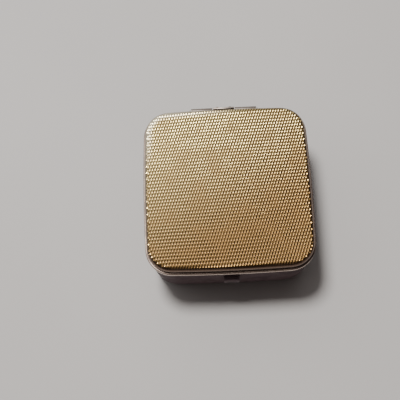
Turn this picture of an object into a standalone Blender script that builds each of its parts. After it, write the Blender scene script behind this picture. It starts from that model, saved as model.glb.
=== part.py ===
"""Rosin cake in its hinged metal case.

Frame: origin at the centre of the flat underside, +X right, +Y towards the hinge, +Z up.
The case is drawn closed. Everything is in metres.
"""

import math

import bmesh
import bpy
from mathutils import Matrix, Vector

MM = 0.001

# Driving dimensions of the whole case
HALF_WIDTH = 30.0 * MM
HALF_DEPTH = 30.9 * MM
RIM_HEIGHT = 25.0 * MM
CORNER_RADIUS = 9.4 * MM
SIDE_BOW = 0.37 * MM
SMALLEST_CORNER = 4.0 * MM
FIT = 0.3 * MM
OVERHANG = 1.35 * MM

# Heights of the layers, measured from the plane where the two halves part
BASE_TOP = RIM_HEIGHT - 1.0 * MM
BASE_RIM_LOW = BASE_TOP + FIT
BASE_RIM_TOP = BASE_RIM_LOW + 0.55 * MM
LID_RIM_LOW = BASE_RIM_TOP + FIT
LID_RIM_TOP = LID_RIM_LOW + 0.5 * MM
COVER_LOW = LID_RIM_TOP + FIT
COVER_FLAT = RIM_HEIGHT + 4.2 * MM
CROWN = 0.4 * MM

# Insets from the outer edge of the two rims, and sheet thicknesses
SHELL_INSET = 0.4 * MM
COVER_INSET = 0.35 * MM
SHELL_SHEET = 0.7 * MM
COVER_SHEET = 0.6 * MM
PAN_SHEET = 0.4 * MM
RIM_ROUND = 0.15 * MM
LOWER_RIM_WIDTH = 1.9 * MM
UPPER_RIM_WIDTH = 2.4 * MM
STEP_WIDTH = 3.2 * MM

# Lower shell
FOOT_RADIUS = 6.0 * MM
FOOT_DRAFT = 1.5 * MM

# Lid
SHOULDER_RADIUS = 1.7 * MM
LINER_SHOULDER = 1.1 * MM
LINER_DROP = 0.3 * MM
FELT_INSET = 6.5 * MM
FELT_LOW = RIM_HEIGHT + 0.9 * MM
FELT_EASE = 0.5 * MM
CROWN_MIDDLE = 12.0 * MM
CROWN_CENTRE = 22.0 * MM

# Cake and its tray
DECK_INSET = LOWER_RIM_WIDTH + FIT
DECK_TOP = BASE_TOP + FIT + PAN_SHEET
WELL_INSET = 9.5 * MM
WELL_FLOOR = 4.6 * MM
BED_THICKNESS = 5.0 * MM
CAKE_INSET = 10.0 * MM
CAKE_TOP = RIM_HEIGHT + 0.4 * MM
CAKE_EASE = 0.8 * MM
GROOVE_RADIUS = 46.0 * MM
GROOVE_DEPTH = 0.7 * MM
GROOVE_OFFSET = 3.0 * MM

# Hinge
HINGE_Y = HALF_DEPTH + 0.1 * MM
HINGE_Z = RIM_HEIGHT
KNUCKLE_RADIUS = OVERHANG - 0.1 * MM
BORE_RADIUS = 0.8 * MM
PIN_RADIUS = 0.5 * MM
HINGE_HALF = 12.0 * MM
MIDDLE_HALF = 3.85 * MM
LEAF_SHEET = 0.5 * MM
BASE_LEAF_Y = HINGE_Y - 0.35 * MM
BASE_LEAF_LOW = HINGE_Z - 5.1 * MM
LID_LEAF_Y = HINGE_Y - 0.4 * MM
LID_LEAF_TOP = HINGE_Z + 3.0 * MM
NOTCH_HALF = 13.1 * MM
NOTCH_LOW = HINGE_Z - 1.6 * MM
NOTCH_TOP = HINGE_Z + 1.55 * MM
NOTCH_FRONT = HINGE_Y - KNUCKLE_RADIUS - FIT
NOTCH_REACH = 4.0 * MM
PIN_HEAD_RADIUS = 0.9 * MM
PIN_HEAD = 0.35 * MM

# Rivets
RIVET_SHANK = 0.4 * MM
RIVET_CLEARANCE = 0.15 * MM
RIVET_HEAD = 0.65 * MM
RIVET_DOME = 0.35 * MM
BASE_RIVET_X = (-10.0 * MM, -6.2 * MM, 6.2 * MM, 10.0 * MM)
BASE_RIVET_Z = HINGE_Z - 3.3 * MM
LID_RIVET_X = (-2.3 * MM, 2.3 * MM)
LID_RIVET_Z = HINGE_Z + 2.1 * MM
BASE_RIVET_LENGTH = 2.3 * MM
LID_RIVET_LIFT = 0.2 * MM
LID_RIVET_LENGTH = 2.7 * MM
GUIDE_RIVET_LENGTH = 1.7 * MM
HOLE_REACH = 4.0 * MM

# Catch, with depths measured inwards from the front edge of the rims
FRONT = -HALF_DEPTH
BUTTON_WIDTH = 5.4 * MM
BUTTON_HEIGHT = 3.0 * MM
BUTTON_EASE = 0.45 * MM
BUTTON_Z = RIM_HEIGHT - 6.4 * MM
BUTTON_FACE = FRONT - OVERHANG
FLANGE_FRONT = FRONT + 2.05 * MM
FLANGE_BACK = FRONT + 2.45 * MM
FLANGE_LAP = 0.01 * MM
FLANGE_WIDTH = 7.2 * MM
FLANGE_HEIGHT = 3.8 * MM
BOSS_BACK = FRONT + 3.8 * MM
BOSS_WIDTH = 2.6 * MM
BOSS_HEIGHT = 1.8 * MM
HOOK_FRONT = BOSS_BACK + FIT
HOOK_SHEET = 0.6 * MM
HOOK_WIDTH = 5.0 * MM
HOOK_LOW = RIM_HEIGHT - 8.0 * MM
HOOK_TOP = RIM_HEIGHT + 2.05 * MM
HOOK_NOSE = 0.7 * MM
HOOK_NOSE_HEIGHT = 0.45 * MM
STRIKE_Y = FRONT + 2.2 * MM
STRIKE_SHEET = 0.4 * MM
STRIKE_WIDTH = 7.0 * MM
STRIKE_TOP = RIM_HEIGHT + 2.2 * MM
STRIKE_LEDGE = HOOK_FRONT - HOOK_NOSE - FIT
SLOT_WIDTH = 6.2 * MM
SLOT_FRONT = FRONT + 2.8 * MM
SLOT_BACK = FRONT + 6.0 * MM
GUIDE_FRONT = FRONT + 3.6 * MM
GUIDE_BACK = FRONT + 7.1 * MM
GUIDE_SHEET = 0.4 * MM
GUIDE_WIDTH = 18.0 * MM
GUIDE_TOP = DECK_TOP - PAN_SHEET - FIT
CHEEK_LOW = RIM_HEIGHT - 8.7 * MM
CHEEK_GAP = 6.6 * MM
GUIDE_RIVET_X = (-6.5 * MM, 6.5 * MM)
GUIDE_RIVET_Y = FRONT + 5.4 * MM
SPRING_SHEET = 0.25 * MM
SPRING_WIDTH = 3.6 * MM
SPRING_FRONT = HOOK_FRONT + HOOK_SHEET + FIT + SPRING_SHEET
SPRING_BACK = GUIDE_BACK - FIT
SPRING_HALF = 2.0 * MM
SPRING_STEPS = 8

CORNER_STEPS = 6
SIDE_STEPS = 4
ARC_STEPS = 4
ROUND_STEPS = 20
RIVET_STEPS = 12


def clear_scene():
    """Empty the scene, and make one collection for the parts and one for the cutters."""
    for thing in list(bpy.data.objects):
        bpy.data.objects.remove(thing)
    made = []
    for name in ("rosin_case", "cutters"):
        group = bpy.data.collections.new(name)
        bpy.context.scene.collection.children.link(group)
        made.append(group)
    return made


PARTS, CUTTERS = clear_scene()


def material(name, colour, roughness, metallic):
    """A plain surface for one sub-part."""
    made = bpy.data.materials.new(name)
    made.use_nodes = True
    shader = made.node_tree.nodes["Principled BSDF"]
    shader.inputs["Base Color"].default_value = (*colour, 1.0)
    shader.inputs["Roughness"].default_value = roughness
    shader.inputs["Metallic"].default_value = metallic
    return made


GILT = material("gilt_sheet", (0.72, 0.50, 0.22), 0.3, 1.0)
NICKEL = material("nickel_rim", (0.66, 0.62, 0.58), 0.2, 1.0)
DARK_STEEL = material("dark_steel", (0.20, 0.17, 0.17), 0.35, 1.0)
BRASS = material("brass_pan", (0.70, 0.55, 0.30), 0.3, 1.0)
SPRING_STEEL = material("spring_steel", (0.30, 0.32, 0.36), 0.3, 1.0)
FELT = material("claret_felt", (0.22, 0.02, 0.04), 0.95, 0.0)
ROSIN = material("amber_rosin", (0.55, 0.18, 0.02), 0.15, 0.0)


def add_object(name, bm, surface, group=None):
    """Turn a bmesh into a named object with its own material."""
    bmesh.ops.recalc_face_normals(bm, faces=bm.faces)
    mesh = bpy.data.meshes.new(name)
    bm.to_mesh(mesh)
    bm.free()
    thing = bpy.data.objects.new(name, mesh)
    (group or PARTS).objects.link(thing)
    if surface:
        mesh.materials.append(surface)
        mesh.shade_smooth()
        mesh.set_sharp_from_angle(angle=math.radians(35))
    return thing


def side_points(start, end, bow):
    """Points along one bowed side, between its two corners."""
    along = end - start
    outward = Vector((along.y, -along.x)).normalized()
    for step in range(1, SIDE_STEPS):
        share = step / SIDE_STEPS
        yield start + along * share + outward * bow * 4 * share * (1 - share)


def outline(inset):
    """Rounded rectangle with slightly bowed sides, anticlockwise, moved in from the rims' edge."""
    radius = max(CORNER_RADIUS - inset, SMALLEST_CORNER)
    reach_x = HALF_WIDTH - SIDE_BOW - inset - radius
    reach_y = HALF_DEPTH - SIDE_BOW - inset - radius
    corners = []
    for quarter, (sign_x, sign_y) in enumerate(((1, -1), (1, 1), (-1, 1), (-1, -1))):
        centre = Vector((sign_x * reach_x, sign_y * reach_y))
        turns = [(quarter - 1 + step / CORNER_STEPS) * math.pi / 2 for step in range(CORNER_STEPS + 1)]
        corners.append([centre + radius * Vector((math.cos(a), math.sin(a))) for a in turns])
    points = []
    for here, following in zip(corners, corners[1:] + corners[:1]):
        points += here
        points += side_points(here[-1], following[0], SIDE_BOW)
    return points


def add_ring(bm, inset, height):
    """One closed loop of corners at a given inset and height."""
    return [bm.verts.new((p.x, p.y, height)) for p in outline(inset)]


def loft(bm, lower, upper):
    """Join two loops, corner to corner."""
    sides = zip(lower, lower[1:] + lower[:1], upper[1:] + upper[:1], upper)
    for side in sides:
        bm.faces.new(side)


def moulded(name, section, surface, ring=False):
    """Carry a section of (inset, height) points round the outline: a closed ring, or a capped pan."""
    bm = bmesh.new()
    loops = [add_ring(bm, inset, height) for inset, height in section]
    for lower, upper in zip(loops, loops[1:]):
        loft(bm, lower, upper)
    if ring:
        loft(bm, loops[-1], loops[0])
    else:
        bm.faces.new(loops[0])
        bm.faces.new(loops[-1])
    return add_object(name, bm, surface)


def arc(centre_inset, centre_height, radius, start, end):
    """Section points round an arc; 180 degrees points to the outside and 90 degrees up."""
    for step in range(ARC_STEPS + 1):
        angle = math.radians(start + (end - start) * step / ARC_STEPS)
        yield centre_inset + radius * math.cos(angle), centre_height + radius * math.sin(angle)


def add_box(bm, low, high):
    """A box between two corners."""
    low = Vector(low)
    high = Vector(high)
    place = Matrix.Translation((low + high) / 2) @ Matrix.Diagonal((*(high - low), 1.0))
    return bmesh.ops.create_cube(bm, size=1.0, matrix=place)["verts"]


def add_cylinder(bm, radius, start, end, steps=ROUND_STEPS):
    """A capped cylinder between two points."""
    start = Vector(start)
    axis = Vector(end) - start
    turn = axis.to_track_quat("Z", "Y").to_matrix().to_4x4()
    place = Matrix.Translation(start + axis / 2) @ turn
    bmesh.ops.create_cone(bm, cap_ends=True, segments=steps, radius1=radius, radius2=radius,
                          depth=axis.length, matrix=place)


def box(name, low, high, surface):
    """A plain block as its own object."""
    bm = bmesh.new()
    add_box(bm, low, high)
    return add_object(name, bm, surface)


def box_cutter(name, low, high):
    """A block that only cuts."""
    bm = bmesh.new()
    add_box(bm, low, high)
    return hide_cutter(add_object(name, bm, None, CUTTERS))


def cylinder_cutter(name, radius, ends):
    """One or more round drills in one object."""
    bm = bmesh.new()
    for start, end in ends:
        add_cylinder(bm, radius, start, end)
    return hide_cutter(add_object(name, bm, None, CUTTERS))


def hide_cutter(thing):
    """Keep a cutter out of the finished object."""
    thing.hide_render = True
    thing.display_type = "WIRE"
    return thing


def combine(thing, tool, operation):
    """Cut or join with an exact Boolean."""
    modifier = thing.modifiers.new(tool.name, "BOOLEAN")
    modifier.operation = operation
    modifier.solver = "EXACT"
    modifier.object = tool


def bevel(thing, width, segments=2):
    """Ease the sharp edges of a piece."""
    modifier = thing.modifiers.new("ease", "BEVEL")
    modifier.width = width
    modifier.segments = segments
    modifier.limit_method = "ANGLE"
    modifier.angle_limit = math.radians(40)
    return thing


def place_origin(thing, origin):
    """Put the origin at a point without moving the shape."""
    thing.data.transform(Matrix.Translation(-Vector(origin)))
    thing.location = origin


def base_shell():
    """Lower shell: a deep-drawn pan with a rounded foot."""
    foot = SHELL_INSET + FOOT_DRAFT + FOOT_RADIUS
    outer = list(arc(foot, FOOT_RADIUS, FOOT_RADIUS, 270, 180))
    inner = list(arc(foot, FOOT_RADIUS, FOOT_RADIUS - SHELL_SHEET, 180, 270))
    rim = [(SHELL_INSET, BASE_TOP), (SHELL_INSET + SHELL_SHEET, BASE_TOP)]
    return moulded("base_shell", outer + rim + inner, DARK_STEEL)


def base_bezel():
    """Rim of the lower half: a rounded bead with a step inside that carries the tray."""
    section = [(RIM_ROUND, BASE_RIM_LOW), (0.0, BASE_RIM_LOW + RIM_ROUND), (0.0, BASE_RIM_TOP - RIM_ROUND),
               (RIM_ROUND, BASE_RIM_TOP), (LOWER_RIM_WIDTH, BASE_RIM_TOP), (LOWER_RIM_WIDTH, BASE_TOP),
               (STEP_WIDTH, BASE_TOP), (STEP_WIDTH, BASE_TOP - PAN_SHEET),
               (LOWER_RIM_WIDTH - PAN_SHEET, BASE_TOP - PAN_SHEET), (LOWER_RIM_WIDTH - PAN_SHEET, BASE_RIM_LOW)]
    return moulded("base_bezel", section, NICKEL, ring=True)


def lid_bezel():
    """Bead round the lid's lower edge."""
    section = [(RIM_ROUND, LID_RIM_LOW), (0.0, LID_RIM_LOW + RIM_ROUND), (0.0, LID_RIM_TOP - RIM_ROUND),
               (RIM_ROUND, LID_RIM_TOP), (UPPER_RIM_WIDTH, LID_RIM_TOP), (UPPER_RIM_WIDTH, LID_RIM_LOW)]
    return moulded("lid_bezel", section, NICKEL, ring=True)


def lid_cover():
    """Gilt sheet of the lid, slightly crowned, with a rounded shoulder."""
    centre = COVER_INSET + SHOULDER_RADIUS
    height = COVER_FLAT - SHOULDER_RADIUS
    crown = [(CROWN_MIDDLE, COVER_FLAT + 0.7 * CROWN), (CROWN_CENTRE, COVER_FLAT + CROWN)]
    outer = [(COVER_INSET, COVER_LOW), *arc(centre, height, SHOULDER_RADIUS, 180, 90), *crown]
    inner = [(COVER_INSET + COVER_SHEET, COVER_LOW),
             *arc(centre, height, SHOULDER_RADIUS - COVER_SHEET, 180, 90),
             *((inset, level - COVER_SHEET) for inset, level in crown)]
    return moulded("lid_cover", outer[::-1] + inner, GILT)


def lid_liner():
    """Inner pan of the lid."""
    wall = COVER_INSET + COVER_SHEET + FIT
    centre = wall + LINER_SHOULDER
    height = COVER_FLAT - COVER_SHEET - LINER_DROP - LINER_SHOULDER
    outer = [(wall, COVER_LOW), *arc(centre, height, LINER_SHOULDER, 180, 90)]
    inner = [(wall + PAN_SHEET, COVER_LOW), *arc(centre, height, LINER_SHOULDER - PAN_SHEET, 180, 90)]
    return moulded("lid_liner", outer[::-1] + inner, BRASS)


def lid_felt():
    """Pad in the lid, over the cake."""
    top = COVER_FLAT - COVER_SHEET - LINER_DROP - PAN_SHEET - FIT
    section = [(FELT_INSET + FELT_EASE, FELT_LOW), (FELT_INSET, FELT_LOW + FELT_EASE),
               (FELT_INSET, top - FELT_EASE), (FELT_INSET + FELT_EASE, top)]
    return moulded("lid_felt", section, FELT)


def cake_tray():
    """Inner pan: a flat deck with a deep well for the cake."""
    under = DECK_TOP - PAN_SHEET
    outside = WELL_INSET - PAN_SHEET
    section = [(outside, WELL_FLOOR - PAN_SHEET), (outside, under), (DECK_INSET, under),
               (DECK_INSET, DECK_TOP), (WELL_INSET, DECK_TOP), (WELL_INSET, WELL_FLOOR)]
    return moulded("cake_tray", section, BRASS)


def tray_felt():
    """Felt bed under the cake."""
    low = WELL_FLOOR + FIT
    section = [(CAKE_INSET, low), (CAKE_INSET, low + BED_THICKNESS)]
    return moulded("tray_felt", section, FELT)


def rosin_cake():
    """Moulded cake with eased edges and the shallow groove that a bow wears."""
    low = WELL_FLOOR + BED_THICKNESS + 2 * FIT
    section = [(CAKE_INSET + CAKE_EASE, low), (CAKE_INSET, low + CAKE_EASE),
               (CAKE_INSET, CAKE_TOP - CAKE_EASE), (CAKE_INSET + CAKE_EASE, CAKE_TOP)]
    cake = moulded("rosin_cake", section, ROSIN)
    height = CAKE_TOP - GROOVE_DEPTH + GROOVE_RADIUS
    reach = HALF_DEPTH
    groove = cylinder_cutter("bow_groove", GROOVE_RADIUS,
                             [((GROOVE_OFFSET, -reach, height), (GROOVE_OFFSET, reach, height))])
    combine(cake, groove, "DIFFERENCE")
    return cake


def hinge_leaf(name, start, end, tip, leaf_y):
    """A knuckle with its flat leaf, drawn as one section and bored for the pin."""
    bm = bmesh.new()
    up = math.copysign(1.0, tip - HINGE_Z)
    first = math.acos((leaf_y - HINGE_Y) / KNUCKLE_RADIUS)
    last = math.acos((leaf_y + LEAF_SHEET - HINGE_Y) / KNUCKLE_RADIUS) + 2 * math.pi
    turns = [first + (last - first) * step / ROUND_STEPS for step in range(ROUND_STEPS + 1)]
    section = [(leaf_y + LEAF_SHEET, tip), (leaf_y, tip)]
    section += [(HINGE_Y + KNUCKLE_RADIUS * math.cos(a), HINGE_Z + up * KNUCKLE_RADIUS * math.sin(a))
                for a in turns]
    side = bm.faces.new([bm.verts.new((start, y, height)) for y, height in section])
    moved = bmesh.ops.extrude_face_region(bm, geom=[side])["geom"]
    across = [piece for piece in moved if isinstance(piece, bmesh.types.BMVert)]
    bmesh.ops.translate(bm, vec=(end - start, 0, 0), verts=across)
    leaf = add_object(name, bm, NICKEL)
    bore = cylinder_cutter(name + "_bore", BORE_RADIUS,
                           [((start - MM, HINGE_Y, HINGE_Z), (end + MM, HINGE_Y, HINGE_Z))])
    combine(leaf, bore, "DIFFERENCE")
    return leaf


def hinge_pin():
    """Pin through the knuckles, with a low head at each end."""
    bm = bmesh.new()
    inner = HINGE_HALF + FIT
    outer = inner + PIN_HEAD
    reach = inner + PIN_HEAD / 2
    add_cylinder(bm, PIN_RADIUS, (-reach, HINGE_Y, HINGE_Z), (reach, HINGE_Y, HINGE_Z))
    pin = add_object("hinge_pin", bm, SPRING_STEEL)
    heads = cylinder_cutter("pin_heads", PIN_HEAD_RADIUS,
                            [((side * inner, HINGE_Y, HINGE_Z), (side * outer, HINGE_Y, HINGE_Z))
                             for side in (-1, 1)])
    combine(pin, heads, "UNION")
    return pin


def rivet(name, place, direction, length):
    """One rivet, with a domed head outside and a flat head inside."""
    bm = bmesh.new()
    tail = -length - RIVET_DOME
    profile = [(0.0, RIVET_DOME), (0.5 * RIVET_HEAD, 0.8 * RIVET_DOME), (RIVET_HEAD, 0.0),
               (RIVET_SHANK, 0.0), (RIVET_SHANK, -length), (RIVET_HEAD, -length),
               (RIVET_HEAD, tail), (0.0, tail)]
    verts = [bm.verts.new((radius, 0.0, height)) for radius, height in profile]
    edges = [bm.edges.new(pair) for pair in zip(verts, verts[1:])]
    bmesh.ops.spin(bm, geom=verts + edges, axis=(0, 0, 1), cent=(0, 0, 0),
                   angle=2 * math.pi, steps=RIVET_STEPS, use_merge=True)
    bmesh.ops.remove_doubles(bm, verts=bm.verts, dist=0.001 * MM)
    turn = Vector(direction).to_track_quat("Z", "Y").to_matrix().to_4x4()
    bmesh.ops.transform(bm, matrix=Matrix.Translation(place) @ turn, verts=bm.verts)
    return add_object(name, bm, NICKEL)


def rivet_row(name, pieces, places, direction, lift, length):
    """Drill a row of holes through several sheets, and set a rivet in each."""
    along = Vector(direction)
    ends = [(Vector(place) - along * HOLE_REACH, Vector(place) + along * HOLE_REACH) for place in places]
    holes = cylinder_cutter(name + "_holes", RIVET_SHANK + RIVET_CLEARANCE, ends)
    for piece in pieces:
        combine(piece, holes, "DIFFERENCE")
    for number, place in enumerate(places, 1):
        rivet(f"{name}_{number}", Vector(place) + along * lift, direction, length)


def catch_button():
    """Push button: a head that goes through the shell, a flange that keeps it in, and a boss."""
    bm = bmesh.new()
    half_w = BUTTON_WIDTH / 2
    half_h = BUTTON_HEIGHT / 2
    add_box(bm, (-half_w, BUTTON_FACE, BUTTON_Z - half_h), (half_w, FLANGE_BACK, BUTTON_Z + half_h))
    button = bevel(add_object("catch_button", bm, DARK_STEEL), BUTTON_EASE, 3)
    for part, width, height, front, back in (
            ("flange", FLANGE_WIDTH, FLANGE_HEIGHT, FLANGE_FRONT, FLANGE_BACK + FLANGE_LAP),
            ("boss", BOSS_WIDTH, BOSS_HEIGHT, FLANGE_FRONT, BOSS_BACK)):
        tool = box_cutter("button_" + part, (-width / 2, front, BUTTON_Z - height / 2),
                          (width / 2, back, BUTTON_Z + height / 2))
        combine(button, tool, "UNION")
    place_origin(button, (0.0, BUTTON_FACE, BUTTON_Z))
    return button


def catch_hook():
    """Upright tongue behind the button, with a nose that reaches for the strike."""
    bm = bmesh.new()
    half = HOOK_WIDTH / 2
    add_box(bm, (-half, HOOK_FRONT, HOOK_LOW), (half, HOOK_FRONT + HOOK_SHEET, HOOK_TOP))
    hook = add_object("catch_hook", bm, SPRING_STEEL)
    nose = box_cutter("hook_nose", (-half, HOOK_FRONT - HOOK_NOSE, HOOK_TOP - HOOK_NOSE_HEIGHT),
                      (half, HOOK_FRONT + HOOK_SHEET / 2, HOOK_TOP))
    combine(hook, nose, "UNION")
    place_origin(hook, (0.0, HOOK_FRONT, BUTTON_Z))
    return hook


def catch_strike():
    """Bent lip in the front of the lid."""
    bm = bmesh.new()
    half = STRIKE_WIDTH / 2
    add_box(bm, (-half, STRIKE_Y, COVER_LOW), (half, STRIKE_Y + STRIKE_SHEET, STRIKE_TOP))
    strike = add_object("catch_strike", bm, NICKEL)
    ledge = box_cutter("strike_ledge", (-half, STRIKE_Y + STRIKE_SHEET / 2, COVER_LOW),
                       (half, STRIKE_LEDGE, COVER_LOW + STRIKE_SHEET))
    combine(strike, ledge, "UNION")
    return strike


def catch_guide():
    """Bracket under the deck: a top plate open at the front, two cheeks and a back."""
    low_y = GUIDE_FRONT
    high_y = GUIDE_BACK + GUIDE_SHEET
    cheek = CHEEK_GAP / 2
    guide = box("catch_guide", (-GUIDE_WIDTH / 2, low_y, GUIDE_TOP - GUIDE_SHEET),
                (GUIDE_WIDTH / 2, high_y, GUIDE_TOP), NICKEL)
    drop = box_cutter("guide_drop", (-cheek - GUIDE_SHEET, low_y, CHEEK_LOW),
                      (cheek + GUIDE_SHEET, high_y, GUIDE_TOP - GUIDE_SHEET / 2))
    way = box_cutter("guide_way", (-cheek, low_y - MM, CHEEK_LOW - MM),
                     (cheek, GUIDE_BACK, GUIDE_TOP + MM))
    combine(guide, drop, "UNION")
    combine(guide, way, "DIFFERENCE")
    return guide


def catch_spring():
    """Bowed leaf spring between the guide's back and the hook."""
    bm = bmesh.new()
    front = []
    back = []
    for step in range(SPRING_STEPS + 1):
        share = 2 * step / SPRING_STEPS - 1
        bulge = SPRING_BACK + (SPRING_FRONT - SPRING_BACK) * (0.5 + 0.5 * math.cos(math.pi * share))
        height = BUTTON_Z + share * SPRING_HALF
        front.append(bm.verts.new((-SPRING_WIDTH / 2, bulge - SPRING_SHEET, height)))
        back.append(bm.verts.new((-SPRING_WIDTH / 2, bulge, height)))
    side = bm.faces.new(front + back[::-1])
    moved = bmesh.ops.extrude_face_region(bm, geom=[side])["geom"]
    across = [piece for piece in moved if isinstance(piece, bmesh.types.BMVert)]
    bmesh.ops.translate(bm, vec=(SPRING_WIDTH, 0, 0), verts=across)
    return add_object("catch_spring", bm, SPRING_STEEL)


def cut_hinge_notch(pieces):
    """Make room for the knuckles in the back of the shells and rims."""
    notch = box_cutter("hinge_notch", (-NOTCH_HALF, NOTCH_FRONT, NOTCH_LOW),
                       (NOTCH_HALF, HINGE_Y + NOTCH_REACH, NOTCH_TOP))
    for piece in pieces:
        combine(piece, notch, "DIFFERENCE")


def build():
    """Make every sub-part, then cut the notches, slots and holes."""
    shell = base_shell()
    lower_rim = base_bezel()
    tray = cake_tray()
    tray_felt()
    rosin_cake()
    upper_rim = lid_bezel()
    cover = lid_cover()
    liner = lid_liner()
    lid_felt()

    left = hinge_leaf("base_hinge_leaf_left", -HINGE_HALF, -MIDDLE_HALF - FIT, BASE_LEAF_LOW, BASE_LEAF_Y)
    right = hinge_leaf("base_hinge_leaf_right", MIDDLE_HALF + FIT, HINGE_HALF, BASE_LEAF_LOW, BASE_LEAF_Y)
    middle = hinge_leaf("lid_hinge_leaf", -MIDDLE_HALF, MIDDLE_HALF, LID_LEAF_TOP, LID_LEAF_Y)
    hinge_pin()

    catch_button()
    catch_hook()
    catch_strike()
    guide = catch_guide()
    catch_spring()

    cut_hinge_notch((shell, lower_rim, upper_rim, cover))
    window = box_cutter("button_window",
                        (-BUTTON_WIDTH / 2 - FIT, BUTTON_FACE, BUTTON_Z - BUTTON_HEIGHT / 2 - FIT),
                        (BUTTON_WIDTH / 2 + FIT, FLANGE_FRONT, BUTTON_Z + BUTTON_HEIGHT / 2 + FIT))
    combine(shell, window, "DIFFERENCE")
    slot = box_cutter("hook_slot", (-SLOT_WIDTH / 2, SLOT_FRONT, DECK_TOP - MM),
                      (SLOT_WIDTH / 2, SLOT_BACK, DECK_TOP + MM))
    combine(tray, slot, "DIFFERENCE")

    base_face = BASE_LEAF_Y + LEAF_SHEET
    rivet_row("base_rivet", (shell, left, right), [(x, base_face, BASE_RIVET_Z) for x in BASE_RIVET_X],
              (0, 1, 0), FIT, BASE_RIVET_LENGTH)
    lid_face = LID_LEAF_Y + LEAF_SHEET
    rivet_row("lid_rivet", (cover, liner, middle), [(x, lid_face, LID_RIVET_Z) for x in LID_RIVET_X],
              (0, 1, 0), LID_RIVET_LIFT, LID_RIVET_LENGTH)
    rivet_row("guide_rivet", (tray, guide), [(x, GUIDE_RIVET_Y, DECK_TOP) for x in GUIDE_RIVET_X],
              (0, 0, 1), FIT, GUIDE_RIVET_LENGTH)


build()
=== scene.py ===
"""Rosin cake in its hinged metal case: the looks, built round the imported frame.

The case lies closed at the origin, hinge towards +Y, catch towards -Y. Everything is in metres.
"""

import math

import bmesh
import bpy
from mathutils import Euler, Matrix, Vector


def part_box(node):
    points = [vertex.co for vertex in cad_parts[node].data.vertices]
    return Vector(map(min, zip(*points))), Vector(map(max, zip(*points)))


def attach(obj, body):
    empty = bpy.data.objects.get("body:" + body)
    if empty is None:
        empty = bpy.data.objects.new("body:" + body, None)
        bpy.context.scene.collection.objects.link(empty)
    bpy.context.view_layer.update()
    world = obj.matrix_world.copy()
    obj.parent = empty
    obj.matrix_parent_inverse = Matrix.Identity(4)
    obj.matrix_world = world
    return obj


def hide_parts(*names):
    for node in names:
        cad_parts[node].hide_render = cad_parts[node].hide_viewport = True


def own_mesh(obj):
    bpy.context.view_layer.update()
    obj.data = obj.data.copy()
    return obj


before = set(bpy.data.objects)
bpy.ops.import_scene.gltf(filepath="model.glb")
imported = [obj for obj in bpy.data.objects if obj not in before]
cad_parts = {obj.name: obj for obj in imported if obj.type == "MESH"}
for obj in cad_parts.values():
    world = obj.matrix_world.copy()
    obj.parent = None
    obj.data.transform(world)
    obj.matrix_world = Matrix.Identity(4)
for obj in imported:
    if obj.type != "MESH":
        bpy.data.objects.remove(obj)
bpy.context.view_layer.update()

MM = 0.001

# ---------------------------------------------------------------------------------------------
# Table top, lights and camera. A plain pale sheet of paper under one broad soft lamp behind and
# to the left, with weaker light from the room. The camera looks down over the catch side.

FLOOR_SIZE = 1.6
FLOOR_COLOUR = (0.382, 0.366, 0.355)
LAMP_PLACE = Vector((-0.20, 0.21, 1.0)) * 0.65
LAMP_WIDTH = 0.16
LAMP_POWER = 7.4
LAMP_COLOUR = (1.0, 0.985, 0.965)
ROOM_BRIGHT = (1.25, 1.24, 1.22)
ROOM_DARK = (0.10, 0.082, 0.080)
ROOM_TOWARDS = Vector((-0.48, 0.72, 0.50))
CAMERA_PLACE = (-4.86 * MM, -95.51 * MM, 284.71 * MM)
CAMERA_TURN = (19.452, 1.852, -2.042)
CAMERA_LENS = 69.75


def new_material(name):
    """A node material, with its tree and its Principled shader."""
    made = bpy.data.materials.new(name)
    made.use_nodes = True
    return made, made.node_tree, made.node_tree.nodes["Principled BSDF"]


def node(tree, kind, **settings):
    """Add a node and set its properties, or its inputs by name."""
    made = tree.nodes.new(kind)
    for name, value in settings.items():
        if name in made.bl_rna.properties:
            setattr(made, name, value)
        else:
            made.inputs[name.replace("_", " ")].default_value = value
    return made


def paper_material():
    """Slightly uneven off-white paper."""
    made, tree, shader = new_material("paper")
    place = node(tree, "ShaderNodeTexCoord")
    cloud = node(tree, "ShaderNodeTexNoise", Scale=9.0, Detail=3.0)
    ramp = node(tree, "ShaderNodeValToRGB")
    low, high = ramp.color_ramp.elements
    low.position = 0.3
    low.color = (*(0.97 * c for c in FLOOR_COLOUR), 1)
    high.position = 0.7
    high.color = (*(1.03 * c for c in FLOOR_COLOUR), 1)
    tree.links.new(place.outputs["Object"], cloud.inputs["Vector"])
    tree.links.new(cloud.outputs["Fac"], ramp.inputs["Fac"])
    tree.links.new(ramp.outputs["Color"], shader.inputs["Base Color"])
    shader.inputs["Roughness"].default_value = 0.9
    return made


def lay_floor():
    """The sheet that the case lies on."""
    bm = bmesh.new()
    bmesh.ops.create_grid(bm, x_segments=1, y_segments=1, size=FLOOR_SIZE / 2)
    mesh = bpy.data.meshes.new("floor")
    bm.to_mesh(mesh)
    bm.free()
    mesh.materials.append(paper_material())
    floor = bpy.data.objects.new("floor", mesh)
    bpy.context.scene.collection.objects.link(floor)


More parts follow.
